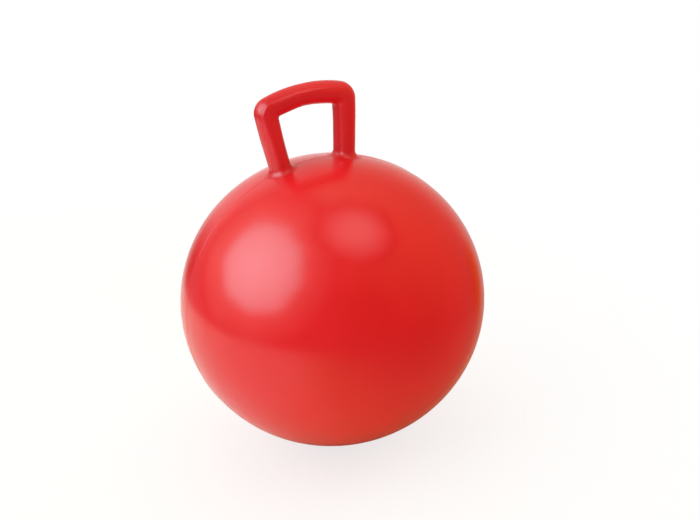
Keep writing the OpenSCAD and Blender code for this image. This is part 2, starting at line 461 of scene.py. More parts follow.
@dataclass
class Ball:
    """The blown-up skin: an upright-squeezed round form with a mould line in the handle's plane.

    Attributes:
        half_width: half the width across the middle.
        half_height: half the height from pole to pole, before the floor presses the skin flat.
        middle_z: height of the ball's middle over the floor.
        inset: how far the skin lies inside the CAD skin, which leaves room for the mould line.
        skin: thickness of the vinyl.
        hole: radius of the valve seat's hole.
        line_width: half width of the mould line's bead.
        line_high: height of the bead.
        uneven: how far the skin swells and sinks.
        soft: how high the skin is off the floor at the edge of its flat patch.
        rings: even rings of points between the front and the valve.
        columns: points round each ring.
    """

    half_width: float
    half_height: float
    middle_z: float
    inset: float = 0.52 * MM
    skin: float = 1.2 * MM
    hole: float = 13.5 * MM
    line_width: float = 0.8 * MM
    line_high: float = 0.40 * MM
    uneven: float = 0.10 * MM
    soft: float = 0.8 * MM
    rings: int = 122
    columns: int = 256

    @classmethod
    def from_frame(cls) -> "Ball":
        """Reads the ball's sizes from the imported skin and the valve's height.

        Returns:
            The ball.
        """
        low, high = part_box("ball_skin")
        plug_low, plug_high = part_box("valve_plug")
        middle_z = (plug_low.z + plug_high.z) / 2
        return cls(half_width=min(high.x, -low.x), half_height=high.z - middle_z, middle_z=middle_z)

    @property
    def axes(self) -> np.ndarray:
        """Half widths along x, y and z."""
        across = self.half_width - self.inset
        return np.array([across, across, self.half_height - self.inset])

    @property
    def middle(self) -> np.ndarray:
        """The ball's middle."""
        return np.array([0.0, 0.0, self.middle_z])

    def swelling(self, directions: np.ndarray) -> np.ndarray:
        """Slow unevenness of the skin: a sum of sine waves in fixed directions across the ball.

        Args:
            directions: unit vectors from the middle, along the last axis.

        Returns:
            How far the skin stands out, in metres.
        """
        waves = np.array([[3.1, 4.7, -2.2], [-5.3, 2.6, 3.9], [6.1, -3.4, 5.2], [-2.7, -6.6, 4.4]])
        starts = np.array([0.4, 1.9, 3.3, 5.1])
        return self.uneven * np.sin(directions @ waves.T + starts).sum(axis=-1) / 4

    def normal(self, points: np.ndarray) -> np.ndarray:
        """Outward direction of the skin nearest to points: the gradient of x²/a² + y²/b² + z²/c²."""
        return unit((points - self.middle) / self.axes ** 2)

    def height_over(self, points: np.ndarray) -> np.ndarray:
        """Distance of points from the skin, positive outside: (q - 1) over the length of q's gradient.

        Args:
            points: places in metres, along the last axis.

        Returns:
            The distances in metres, where q is the length of the place in half widths.
        """
        scaled = (points - self.middle) / self.axes
        long = np.linalg.norm(scaled, axis=-1)
        slope = np.linalg.norm(scaled / self.axes, axis=-1) / long
        return (long - 1) / slope - self.swelling(scaled / long[..., None])

    def surface(self) -> Surface:
        """Works out the skin from ring angle t and turn p about the valve's axis.

        A unit place is q = (cos t cos p, sin t, cos t sin p). The skin lies at the half widths times
        q, moved out by the swelling and by the bead h exp(-(s/w)^2) at arc length s from the mould
        line, and its lowest part is pressed up to the floor by a soft maximum of z and 0.

        Returns:
            The skin's outer surface, open at the valve.
        """
        stop = math.pi / 2 - math.asin(self.hole / self.half_width)
        t = fine_steps(-math.pi / 2, stop, self.rings, (0.0,), self.line_width / self.half_width)[1:]
        p = np.linspace(0, 2 * math.pi, self.columns, endpoint=False)
        ring, turn = np.meshgrid(t, p, indexing="ij")
        q = np.stack([np.cos(ring) * np.cos(turn), np.sin(ring), np.cos(ring) * np.sin(turn)], axis=-1)
        bead = self.line_high * np.exp(-(ring * self.half_width / self.line_width) ** 2)
        points = self.middle + self.axes * q
        points = points + self.normal(points) * (self.swelling(q) + bead)[..., None]
        z = points[..., 2]
        points[..., 2] = 0.5 * (z + np.sqrt(z * z + self.soft ** 2))
        return Surface(points, start_closed=True)

    def build(self, finish: MouldedVinyl) -> bpy.types.Object:
        """Makes the skin with its wall and puts it on the ball's body.

        Args:
            finish: the skin's vinyl.

        Returns:
            The finished piece.
        """
        piece = self.surface().build("ball_skin_moulded", finish.material())
        wall = piece.modifiers.new("wall", "SOLIDIFY")
        wall.thickness = self.skin
        wall.offset = -1.0
        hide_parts("ball_skin")
        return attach(piece, "ball")


# The handle

class Side(Enum):
    """The two sides of the handle, as the sign of x."""

    RIGHT = 1
    LEFT = -1


@dataclass
class Handle:
    """The hollow loop handle with the soft fillets that its legs grow out of the ball with.

    Attributes:
        ball: the ball that it stands on.
        top_z: height of the bar's upper side.
        depth: depth of the tube, front to back.
        width: width of the tube, seen from the front.
        leg_x: distance from the middle at which a leg's axis crosses the skin.
        lean: each leg's lean outwards, in radians.
        arch: radius of the bar's arch, at its middle line.
        corner_out: radius round the outside of a corner.
        corner_in: radius inside a corner.
        fillet: radius of the fillet between leg and ball, on the inner side.
        fillet_out: radius of that fillet on the outer side.
        squareness: power n of the section |x/a|^n + |y/b|^n = 1.
        bow: how far a leg's middle bows outwards.
        inset: how far the tube lies inside the CAD tube.
        web: how much thicker the inner side is along the bar.
        web_right: how much thicker it is in the right corner.
        web_left: how much thicker it is in the left corner.
        slim: how much thinner the outer side is on the left.
        web_run: distance from the loop's middle over which the web grows to a corner's.
        slim_from: distance right of the middle at which the outer side begins to get thinner.
        shoulder: height of the soft ridge between the outer face and the front and back faces.
        shoulder_at: angle of that ridge from the outer side.
        shoulder_wide: its half width, as an angle.
        lumps: how far the tube swells and shrinks along its length.
        line_high: height of the mould line's bead.
        line_wide: its half width, as an angle.
        foot_run: length of the foot, as the lumps' waves count it.
        leg_run: length of the leg over it, counted likewise.
        steps_round: even points round the tube.
        bend_under: how far under the ball's top the bend of the roots begins; not used.
        bend_down: how far under the bar's top it ends; not used.
    """

    ball: Ball
    top_z: float
    depth: float
    width: float = 31 * MM
    leg_x: float = 49 * MM
    lean: float = math.radians(8)
    arch: float = 181 * MM
    corner_out: float = 24 * MM
    corner_in: float = 4.5 * MM
    fillet: float = 8.5 * MM
    fillet_out: float = 9.5 * MM
    squareness: float = 1.88
    bow: float = 0.5 * MM
    inset: float = 0.25 * MM
    web: float = 0.7 * MM
    web_right: float = 1.4 * MM
    web_left: float = 2.4 * MM
    slim: float = 1.0 * MM
    web_run: float = 45 * MM
    slim_from: float = 36 * MM
    shoulder: float = 0.30 * MM
    shoulder_at: float = math.radians(62)
    shoulder_wide: float = 0.17
    lumps: float = 0.22 * MM
    line_high: float = 0.2 * MM
    line_wide: float = 0.024
    foot_run: float = 30 * MM
    leg_run: float = 60 * MM
    steps_round: int = 113
    bend_under: float = 1.2 * MM
    bend_down: float = 92 * MM

    @classmethod
    def from_frame(cls, ball: Ball) -> "Handle":
        """Reads the bar's height and the tube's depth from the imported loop."""
        low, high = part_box("handle_loop")
        return cls(ball=ball, top_z=high.z, depth=high.y - low.y)

    @property
    def arch_z(self) -> float:
        """Height of the arch's middle."""
        return self.top_z - self.width / 2 - self.arch

    def foot(self) -> np.ndarray:
        """Works out where the leg's axis crosses the skin, whose height is c sqrt(1 - (x / a)^2).

        Returns:
            The place's x and z, measured from the arch's middle.
        """
        a, c = self.ball.half_width, self.ball.half_height
        skin_z = self.ball.middle_z + c * math.sqrt(1 - (self.leg_x / a) ** 2)
        return np.array([self.leg_x, skin_z - self.arch_z])

    def around(self) -> np.ndarray:
        """Angles round the tube, 0 at its outer side and pi / 2 at its back, close at the mould lines."""
        lines = (0.0, math.pi)
        return fine_steps(-math.pi / 2, 3 * math.pi / 2, self.steps_round, lines, self.line_wide)[:-1]

    def section(self, angles: np.ndarray, along: np.ndarray) -> tuple[np.ndarray, np.ndarray]:
        """Works out the tube's section at places along it.

        The section is a cos^(2/n), b sin^(2/n). It swells by lumps, which are a few sine waves in the
        length and the angle, by a ridge at each outer shoulder, which wanders a little along the tube,
        and by the mould line's two thin beads.

        Args:
            angles: angles round the tube.
            along: lengths along the handle, in metres.

        Returns:
            Distance outwards and distance to the back, each along x angles.
        """
        power = 2 / self.squareness
        u, s = angles[None, :], along[:, None]
        out = (self.width / 2 - self.inset) * np.sign(np.cos(u)) * np.abs(np.cos(u)) ** power
        back = (self.depth / 2 - self.inset) * np.sign(np.sin(u)) * np.abs(np.sin(u)) ** power
        waves = ((2, 11 * MM, 0.6), (3, -17 * MM, 2.1), (1, 7 * MM, 4.0))
        lumps = sum(np.sin(turns * u + s / run + start) for turns, run, start in waves) / len(waves)
        ridge = sum(np.exp(-((u - at + wander * np.sin(s / (23 * MM))) / self.shoulder_wide) ** 2)
                    for at, wander in ((self.shoulder_at, 0.09), (-self.shoulder_at, 0.10)))
        line = sum(np.exp(-((u - at) / self.line_wide) ** 2) for at in (0.0, math.pi))
        swell = self.lumps * lumps + self.shoulder * ridge + self.line_high * line
        long = np.hypot(out, back)
        return out * (1 + swell / long), back * (1 + swell / long)

    def corner(self, radius: float) -> tuple[np.ndarray, float]:
        """Places a corner whose middle line touches the leg's axis and the arch.

        Args:
            radius: the corner's radius at that middle line.

        Returns:
            The corner's middle, measured from the arch's, and the angle where the arch begins.
        """
        axis = np.array([math.sin(self.lean), math.cos(self.lean)])
        out = np.array([math.cos(self.lean), -math.sin(self.lean)])
        start = self.foot() - radius * out
        along = float(start @ axis)
        run = math.sqrt(along * along - float(start @ start) + (self.arch - radius) ** 2) - along
        middle = start + run * axis
        return middle, math.atan2(middle[1], middle[0])

    def bend_line(self, radius: float, corner_steps: int,
                  arch_steps: int) -> tuple[np.ndarray, np.ndarray]:
        """Stations of the middle line from the right corner's start to the middle of the bar.

        Args:
            radius: the corner's radius at the middle line.
            corner_steps: steps along the corner.
            arch_steps: steps along half the arch.

        Returns:
            The stations, measured from the arch's middle, and the angle of the outward direction.
        """
        middle, begin = self.corner(radius)
        turn = np.linspace(-self.lean, begin, corner_steps + 1)
        on_corner = middle + radius * np.stack([np.cos(turn), np.sin(turn)], axis=-1)
        rise = np.linspace(begin, math.pi / 2, arch_steps + 1)[1:]
        on_arch = self.arch * np.stack([np.cos(rise), np.sin(rise)], axis=-1)
        return np.vstack([on_corner, on_arch]), np.concatenate([turn, rise])

    def bend_rings(self, side: Side, angles: np.ndarray) -> np.ndarray:
        """Rings of a corner and half the bar, as they lie on the right.

        Each point lies at the station plus its distance outwards. The inner side hangs lower by the
        web times a smooth step of -cos u, and the outer side lies lower by slim times a smooth step
        of cos u. The outer side follows the line with the wide corner's radius and the inner half
        that with the tight one's, and points between mix the two by a smooth step of cos u.

        Args:
            side: the side that the rings are for, which sets the web and how slim they are.
            angles: angles round the tube.

        Returns:
            Stations x angles x 3 places in metres.
        """
        corner_steps, arch_steps = 26, 30
        outer, outer_turn = self.bend_line(self.corner_out - self.width / 2, corner_steps, arch_steps)
        inner, inner_turn = self.bend_line(self.corner_in + self.width / 2, corner_steps, arch_steps)
        middle = (outer + inner) / 2
        run = np.concatenate([[0.0], np.cumsum(np.linalg.norm(np.diff(middle, axis=0), axis=1))])
        out, back = self.section(angles, run + self.foot_run + self.leg_run)
        corner_web = self.web_right if side is Side.RIGHT else self.web_left
        web = self.web + (corner_web - self.web) * smooth_step(middle[:, :1] / self.web_run)
        slim = self.slim * smooth_step((self.slim_from - side.value * middle[:, :1]) / self.web_run)
        out = out - web * smooth_step(-np.cos(angles)) - slim * smooth_step(np.cos(angles))
        share = smooth_step(np.cos(angles))[None, :]
        x, z = (inner[:, n, None] * (1 - share) + outer[:, n, None] * share for n in range(2))
        turn = inner_turn[:, None] * (1 - share) + outer_turn[:, None] * share
        return np.stack([x + out * np.cos(turn), back, self.arch_z + z + out * np.sin(turn)], axis=-1)

    def foot_rings(self, angles: np.ndarray, above: np.ndarray) -> np.ndarray:
        """Rings of the fillet and the leg over it, up to where the corner begins.

        A fillet point at angle b lies f (1 - sin b) over the skin and f (1 - cos b) away from the
        leg's wall, so it leaves the skin level and meets the leg in line; f grows from the inner to
        the outer side by (1 + cos u) / 2. Two rings more run under the skin. The leg's rings go
        straight from the fillet's top to the corner's first ring, bowed outwards by a half sine.

        Args:
            angles: angles round the tube.
            above: the corner's first ring, angles x 3.

        Returns:
            Stations x angles x 3 places in metres, from the lowest ring up.
        """
        fillet_rings, leg_rings = 19, 29
        axis = np.array([math.sin(self.lean), 0.0, math.cos(self.lean)])
        outward = np.array([math.cos(self.lean), 0.0, -math.sin(self.lean)])
        foot = self.foot()
        base = np.array([foot[0], 0.0, foot[1] + self.arch_z])
        out, back = self.section(angles, np.zeros(1))
        to_back = np.array([0.0, 1.0, 0.0])
        wall = base + out[0, :, None] * outward + back[0, :, None] * to_back
        away = unit((np.cos(angles) / self.width)[:, None] * outward
                    + (np.sin(angles) / self.depth)[:, None] * to_back)
        bend = np.radians(np.linspace(90, 0, fillet_rings))[:, None]
        fillet = (self.fillet + (self.fillet_out - self.fillet) * (1 + np.cos(angles)) / 2)[None, :]
        buried_high, buried_far = (-0.8 * MM, -0.05 * MM), (2.4 * MM, 1.6 * MM)
        high = np.concatenate([*[np.full_like(fillet, z) for z in buried_high],
                               fillet * (1 - np.sin(bend)) + 0.02 * MM])
        far = np.concatenate([*[fillet + r for r in buried_far], fillet * (1 - np.cos(bend))])
        points = np.repeat(wall[None], len(high), axis=0)
        # Each point slides along the leg's axis until it has its height over the skin
        for _ in range(4):
            normal = self.ball.normal(points)
            short = high - self.ball.height_over(points)
            points = points + (short / (normal @ axis))[..., None] * axis
        # Each point then moves away from the leg, level with the skin, and back to its height
        normal = self.ball.normal(points)
        level = unit(away[None] - np.sum(away[None] * normal, axis=-1, keepdims=True) * normal)
        points = points + far[..., None] * level
        for _ in range(3):
            short = high - self.ball.height_over(points)
            points = points + short[..., None] * self.ball.normal(points)
        share = np.linspace(0, 1, leg_rings + 2)[1:-1, None]
        out_leg, back_leg = self.section(angles, share[:, 0] * self.leg_run + self.foot_run)
        out_top, back_top = self.section(angles, np.array([self.foot_run + self.leg_run]))
        ease = np.sin(math.pi * share)
        swell_out = (out_leg - (1 - share) * out - share * out_top + self.bow) * ease
        swell_back = (back_leg - (1 - share) * back - share * back_top) * ease
        leg = (1 - share)[..., None] * points[-1] + share[..., None] * above
        leg = leg + swell_out[..., None] * outward + swell_back[..., None] * to_back
        return np.concatenate([points, leg])

    def half(self, side: Side, angles: np.ndarray) -> np.ndarray:
        """Rings from a foot to the middle of the bar.

        Args:
            side: the side that the foot is on.
            angles: angles round the tube.

        Returns:
            Stations x angles x 3 places in metres.
        """
        bend = self.bend_rings(side, angles)
        rings = np.concatenate([self.foot_rings(angles, bend[0]), bend])
        return rings * np.array([side.value, 1.0, 1.0])

    def build(self, finish: MouldedVinyl) -> bpy.types.Object:
        """Makes the handle.

        Args:
            finish: the handle's vinyl.

        Returns:
            The finished piece.
        """
        angles = self.around()
        right = self.half(Side.RIGHT, angles)
        left = self.half(Side.LEFT, angles)
        rings = np.concatenate([right, left[-2::-1]])
        loop = Surface(rings, start_closed=True, end_closed=True)
        piece = loop.build("handle_moulded", finish.material())
        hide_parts("handle_loop", "handle_root_left", "handle_root_right")
        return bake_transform(piece)


# The valve

@dataclass
class Valve:
    """The valve in the ball's back: a soft seat in the skin and a ribbed plug in its bore.

    Attributes:
        ball: the ball that it sits in.
        head: radius of the plug's head.
        face_y: place of the head's outer face along the valve's axis.
        tip_y: place of the plug's tip.
        head_thick: thickness of the head.
        head_gap: gap round the head in its dish.
        bore: radius of the seat's bore.
        rib_gap: gap between a rib and the bore.
        groove: depth of the grooves between the ribs.
        ribs: number of ribs.
        rib_long: length of a rib.
        seat_end: place of the seat's inner end.
        flange: radius of the seat's flange inside the skin.
        flange_thick: thickness of the flange.
        boss: radius of the boss inside the flange.
        notch: radius of the thumb notch in the dish's rim.
        neck_gap: gap round the neck in the skin's hole.
        skin_gap: gap between the skin's inner face and the flange.
        lip_wide: width of the raised lip round the dish.
        lip_high: how far that lip stands out of the skin.
    """

    ball: Ball
    head: float
    face_y: float
    tip_y: float
    head_thick: float = 2.2 * MM
    head_gap: float = 0.3 * MM
    bore: float = 4.0 * MM
    rib_gap: float = 0.05 * MM
    groove: float = 0.7 * MM
    ribs: int = 4
    rib_long: float = 2.4 * MM
    seat_end: float = 209.0 * MM
    flange: float = 22.0 * MM
    flange_thick: float = 2.4 * MM
    boss: float = 9.5 * MM
    notch: float = 3.5 * MM
    neck_gap: float = 0.05 * MM
    skin_gap: float = 0.08 * MM
    lip_wide: float = 1.6 * MM
    lip_high: float = 0.14 * MM

    @classmethod
    def from_frame(cls, ball: Ball) -> "Valve":
        """Reads the plug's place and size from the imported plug."""
        low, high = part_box("valve_plug")
        return cls(ball=ball, head=(high.x - low.x) / 2, face_y=high.y, tip_y=low.y)

    @property
    def dish(self) -> float:
        """Radius of the dish that holds the plug's head."""
        return self.head + self.head_gap

    @property
    def dish_floor(self) -> float:
        """Place of the dish's floor along the axis."""
        return self.face_y - self.head_thick

    def turned(self, outline: np.ndarray, steps: int = 96) -> np.ndarray:
        """Turns an outline of distance from the axis and place along it round the valve's axis.

        Args:
            outline: rows of radius and y.
            steps: places round the axis.

        Returns:
            Outline x steps x 3 places: (r cos p, y, middle + r sin p).
        """
        p = np.linspace(0, 2 * math.pi, steps, endpoint=False)
        r, y = outline[:, :1], outline[:, 1:]
        return np.stack([r * np.cos(p), y + 0 * p, self.ball.middle_z + r * np.sin(p)], axis=-1)

    def in_skin(self, radius: float, depth: float) -> list[float]:
        """Outline point, as radius and y, that lies a depth under the skin's outer face."""
        across = float(self.ball.axes[0])
        return [radius, across * math.sqrt(1 - (radius / across) ** 2) - depth]

    def seat_surface(self) -> Surface:
        """Works out the seat from its outline, with the notch pressed out of the dish's rim.

        The outline runs from the neck over the rim and lip, down the dish and the bore, and back over
        the boss and the flange, and reach says how far each of its corners is rounded. A place at the
        dish's wall whose turn from straight down is v moves out to k cos v + sqrt(n^2 - k^2 sin^2 v),
        the far side of a circle of radius n about the rim, where k is the dish's radius, wherever that
        is further. A place outside the wall moves out to a quarter of its distance from it beyond that.

        Returns:
            The seat's closed surface.
        """
        neck, lip = self.ball.hole - self.neck_gap, self.dish + self.lip_wide
        under = self.ball.skin + self.skin_gap
        corners = np.array([
            self.in_skin(neck, under),
            self.in_skin(neck, 0.45 * MM),
            self.in_skin(neck - 0.6 * MM, 0.02 * MM),
            self.in_skin(lip + 0.9 * MM, 0.02 * MM),
            self.in_skin(lip, -self.lip_high),
            [self.dish + 0.5 * MM, self.in_skin(self.dish, -self.lip_high)[1]],
            self.in_skin(self.dish, 0.22 * MM),
            [self.dish, self.dish_floor],
            [self.bore + 0.9 * MM, self.dish_floor],
            [self.bore, self.dish_floor - 0.8 * MM],
            [self.bore, self.seat_end + 1.0 * MM],
            [self.bore + 1.0 * MM, self.seat_end],
            [self.boss, self.seat_end],
            self.in_skin(self.boss, under + self.flange_thick + 1.1 * MM),
            self.in_skin(self.flange, under + self.flange_thick),
            self.in_skin(self.flange, under),
            self.in_skin(neck, under)])
        reach = np.array([0.1, 0.15, 0.35, 0.4, 0.3, 0.3, 0.12, 0.35, 0.15, 0.12, 0.1, 0.15, 0.5, 0.9,
                          0.6, 0.6, 0.1]) * MM
        outline = round_corners(corners, reach, 7)[:-1]
        points = self.turned(outline, 192)
        radius = np.hypot(points[..., 0], points[..., 2] - self.ball.middle_z)
        v = np.arctan2(points[..., 0], self.ball.middle_z - points[..., 2])
        inside = self.notch ** 2 - (self.dish * np.sin(v)) ** 2
        notch = np.where((inside > 0) & (np.cos(v) > 0),
                         self.dish * np.cos(v) + np.sqrt(np.maximum(inside, 0)), 0)
        in_dish = (points[..., 1] > self.dish_floor - 0.01 * MM) & (radius < lip + 2.6 * MM)
        pushed = notch + (radius - self.dish) * 0.25
        at_wall = in_dish & (radius > self.dish - 0.45 * MM) & (pushed > radius)
        scale = np.where(at_wall, pushed, radius) / radius
        points[..., 0] *= scale
        points[..., 2] = self.ball.middle_z + (points[..., 2] - self.ball.middle_z) * scale
        return Surface(points, looped=True)

    def plug_surface(self) -> Surface:
        """Works out the plug: a low-domed head with a ring groove, and a shank with round ribs.

        Returns:
            The plug's closed surface.
        """
        rib = self.bore - self.rib_gap
        core = rib - self.groove
        head, face, floor = self.head, self.face_y, self.dish_floor + 0.02 * MM
        # The head's dished top with its ring groove, in mm from the axis and from the head's face
        top = [[0.25, -0.14], [0.9, -0.14], [1.2, -0.02], [5.6, -0.10], [6.0, -0.34], [6.5, -0.34],
               [6.9, -0.12]]
        corners = [[r * MM, face + y * MM] for r, y in top]
        corners += [[head, face - 0.25 * MM], [head, floor], [core, floor]]
        length = self.dish_floor - self.tip_y
        step = (length - 1.0 * MM - self.rib_long) / (self.ribs - 1)
        for k in range(self.ribs - 1, -1, -1):
            low = self.tip_y + 1.0 * MM + k * step
            corners += [[core, low + self.rib_long], [rib, low + self.rib_long], [rib, low]]
            corners += [[core, low]] if k else []
        corners += [[core, self.tip_y], [0.25 * MM, self.tip_y]]
        reach = np.full(len(corners), 0.35 * MM)
        reach[len(top)] = 0.8 * MM
        outline = round_corners(np.array(corners), reach, 6)
        return Surface(self.turned(outline), start_closed=True, end_closed=True)

    def build(self, bush: MouldedVinyl, pressed: PressedVinyl) -> list[bpy.types.Object]:
        """Makes the seat and the plug and puts each on its body.

        Args:
            bush: the seat's vinyl.
            pressed: the plug's vinyl.

        Returns:
            The seat and the plug.
        """
        seat = self.seat_surface().build("valve_seat_moulded", bush.material())
        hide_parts("valve_seat")
        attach(seat, "ball")
        plug = self.plug_surface().build("valve_plug_moulded", pressed.material())
        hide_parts("valve_plug")
        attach(plug, "plug")
        return [seat, plug]


# The studio

@dataclass
class Panel:
    """A lamp's lit cloth, aimed at the ball, that is mirrored in gloss.

    Attributes:
        name: the panel's name.
        azimuth: where it hangs, in degrees from the front towards +X.
        elevation: how high it hangs, in degrees over the ball's middle.
        distance: how far it hangs from the ball's middle.
        half_size: half its width.
        corners: number of its corners.
        turn: turn about its own middle, in degrees.
        strength: its brightness, where 1 is white.
        fade: share of its width over which its edge fades.
        tint: colour of its light, where the cloth glows.
        long: how much longer it is one way than the other, as a share.
        long_at: the way in which it is longest, in degrees.
        hot: place of the bulb behind the cloth, in half widths across and up.
        fall: how fast the glow falls away from the bulb.
        spill: brightness of the wall behind the cloth's edge, as a share of the strength.
        reach: how far that spill goes, in half widths.
        lean: half widths across over which the spill falls to nothing, as the cloth is turned a little.
        spill_tint: colour of the spill.
        tint_from: brightness from which the light has the cloth's own tint.
        rays: points round the panel.
        rings: rings of points from its middle to its edge.
        spill_rings: rings on the wall behind it.
    """

    name: str
    azimuth: float
    elevation: float
    distance: float
    half_size: float
    corners: int
    turn: float
    strength: float
    fade: float
    tint: str
    long: float = 0.0
    long_at: float = 0.0
    hot: tuple[float, float] = (0.0, 0.0)
    fall: float = 0.0
    spill: float = 0.0
    reach: float = 1.0
    lean: float = 4.5
    spill_tint: str = "F8F0DC"
    tint_from: float = 0.45
    rays: int = 96
    rings: int = 25
    spill_rings: int = 8

    def build(self, target: np.ndarray) -> bpy.types.Object:
        """Makes the panel with the wall behind it that it spills light on.

        Args:
            target: the place that it faces.

        Returns:
            The panel.
        """
        towards, across, up = axes_at(self.azimuth, self.elevation)
        p = np.linspace(0, 2 * math.pi, self.rays, endpoint=False)
        part = 2 * math.pi / self.corners
        edge = math.cos(part / 2) / np.cos((p - math.radians(self.turn)) % part - part / 2)
        edge = edge * (1 + self.long / 2 * np.cos(2 * (p - math.radians(self.long_at))))
        on_wall = np.linspace(1.0, max(self.reach, 1.0), self.spill_rings + 1)[1:]
        share = np.append(np.linspace(0.02, 1.0, self.rings), on_wall)[:, None]
        x, y = share * edge * np.cos(p), share * edge * np.sin(p)
        points = target + towards * self.distance + self.half_size * (x[..., None] * across
                                                                      + y[..., None] * up)
        piece = Surface(points, start_closed=True).build(self.name, self.material())
        glow = np.append(self.glow(x, y, share), self.glow(0.0, 0.0, 0.0))
        bright = piece.data.attributes.new("brightness", "FLOAT", "POINT")
        bright.data.foreach_set("value", glow)
        piece.visible_camera = False
        piece.visible_shadow = False
        piece.visible_diffuse = False
        return piece

    def glow(self, x: Values, y: Values, share: Values) -> Values:
        """Brightness of the cloth and of the wall behind it, as a share of the strength.

        At a distance d from the bulb the cloth's glow is exp(-fall d^2), and it fades out towards the
        edge. The spill adds to that, and past the edge it falls evenly to nothing. It is 1 - x / lean
        times as strong at x half widths across.

        Args:
            x: place across, in half widths.
            y: place up, in half widths.
            share: distance from the middle, as a share of the edge's distance that way.

        Returns:
            The brightness.
        """
        from_bulb = (x - self.hot[0]) ** 2 + (y - self.hot[1]) ** 2
        cloth = np.exp(-self.fall * from_bulb) * (1 - smooth_step((share - 1 + self.fade) / self.fade))
        tail = np.clip((self.reach - share) / max(self.reach - 1, 0.01), 0, 1)
        return cloth + self.spill * tail * (1 - x / self.lean)

    def material(self) -> bpy.types.Material:
        """White cloth over a lamp: it glows most in front of its bulb, and its spill is warmer.

        Returns:
            The panel's material.
        """
        material, tree = empty_material(self.name + "_cloth")
        bright = add_node(tree, "ShaderNodeAttribute", attribute_name="brightness")
        power = add_node(tree, "ShaderNodeMath", {0: bright.outputs["Fac"], 1: self.strength},
                         operation="MULTIPLY")
        lit = add_node(tree, "ShaderNodeMapRange", {
            "Value": bright.outputs["Fac"], 1: self.spill, 2: self.tint_from, 3: 0.0, 4: 1.0})
        tint = add_node(tree, "ShaderNodeMix", {
            0: lit.outputs[0], 6: linear(self.spill_tint), 7: linear(self.tint)}, data_type="RGBA")
        glow = add_node(tree, "ShaderNodeEmission", {
            "Color": tint.outputs[2], "Strength": power.outputs[0]})
        add_node(tree, "ShaderNodeOutputMaterial", {"Surface": glow.outputs[0]})
        return material


@dataclass
class SoftLamp:
    """A wide round lamp that lights surfaces and is not mirrored in their gloss.

    Attributes:
        name: the lamp's name.
        azimuth: where it hangs, in degrees from the front towards +X.
        elevation: how high it hangs, in degrees over the ball's middle.
        light: what it gives a white surface that faces it, where 1 is white.
        distance: how far it hangs from the ball's middle.
        radius: its radius.
    """

    name: str
    azimuth: float
    elevation: float
    light: float
    distance: float = 2.2
    radius: float = 1.3

    def build(self, target: np.ndarray) -> bpy.types.Object:
        """Makes the lamp.

        A disk of radius r and power P gives a white surface at distance d P / (pi^2 (r^2 + d^2)).

        Args:
            target: the place that it faces.

        Returns:
            The lamp.
        """
        towards = Vector(axes_at(self.azimuth, self.elevation)[0])
        lamp = bpy.data.lights.new(self.name, "AREA")
        lamp.shape = "DISK"
        lamp.size = 2 * self.radius
        lamp.energy = self.light * math.pi ** 2 * (self.radius ** 2 + self.distance ** 2)
        lamp.cycles.use_multiple_importance_sampling = False
        piece = bpy.data.objects.new(self.name, lamp)
        turned = towards.to_track_quat("Z", "Y").to_matrix().to_4x4()
        piece.matrix_world = Matrix.Translation(Vector(target) + towards * self.distance) @ turned
        piece.visible_camera = False
        piece.visible_glossy = False
        bpy.context.scene.collection.objects.link(piece)
        return piece


@dataclass(frozen=True)
class Glow:
    """A soft patch of light or shade in the studio's surroundings.

    Attributes:
        way: direction of its middle.
        start: cosine of the angle from that direction at which it begins.
        stop: cosine at which it is full.
        amount: its brightness where it is full, where 1 is white, or below 0 for a dark patch.
        power: power that its rise is taken to.
    """

    way: tuple[float, float, float]
    start: float
    stop: float
    amount: float
    power: float = 1.0

    def add_to(self, tree: Tree, way: Socket,
               total: Socket | float) -> Socket:
        """Adds amount times the rise's power to a brightness.

        Args:
            tree: the world's node tree.
            way: socket that gives the direction looked in.
            total: the brightness so far.

        Returns:
            The socket that gives the new brightness.
        """
        near = rise_along(tree, way, self.way, (self.start, self.stop))
        eased = add_node(tree, "ShaderNodeMath", {0: near, 1: self.power}, operation="POWER")
        return add_node(tree, "ShaderNodeMath", {0: eased.outputs[0], 1: self.amount, 2: total},
                        operation="MULTIPLY_ADD").outputs[0]


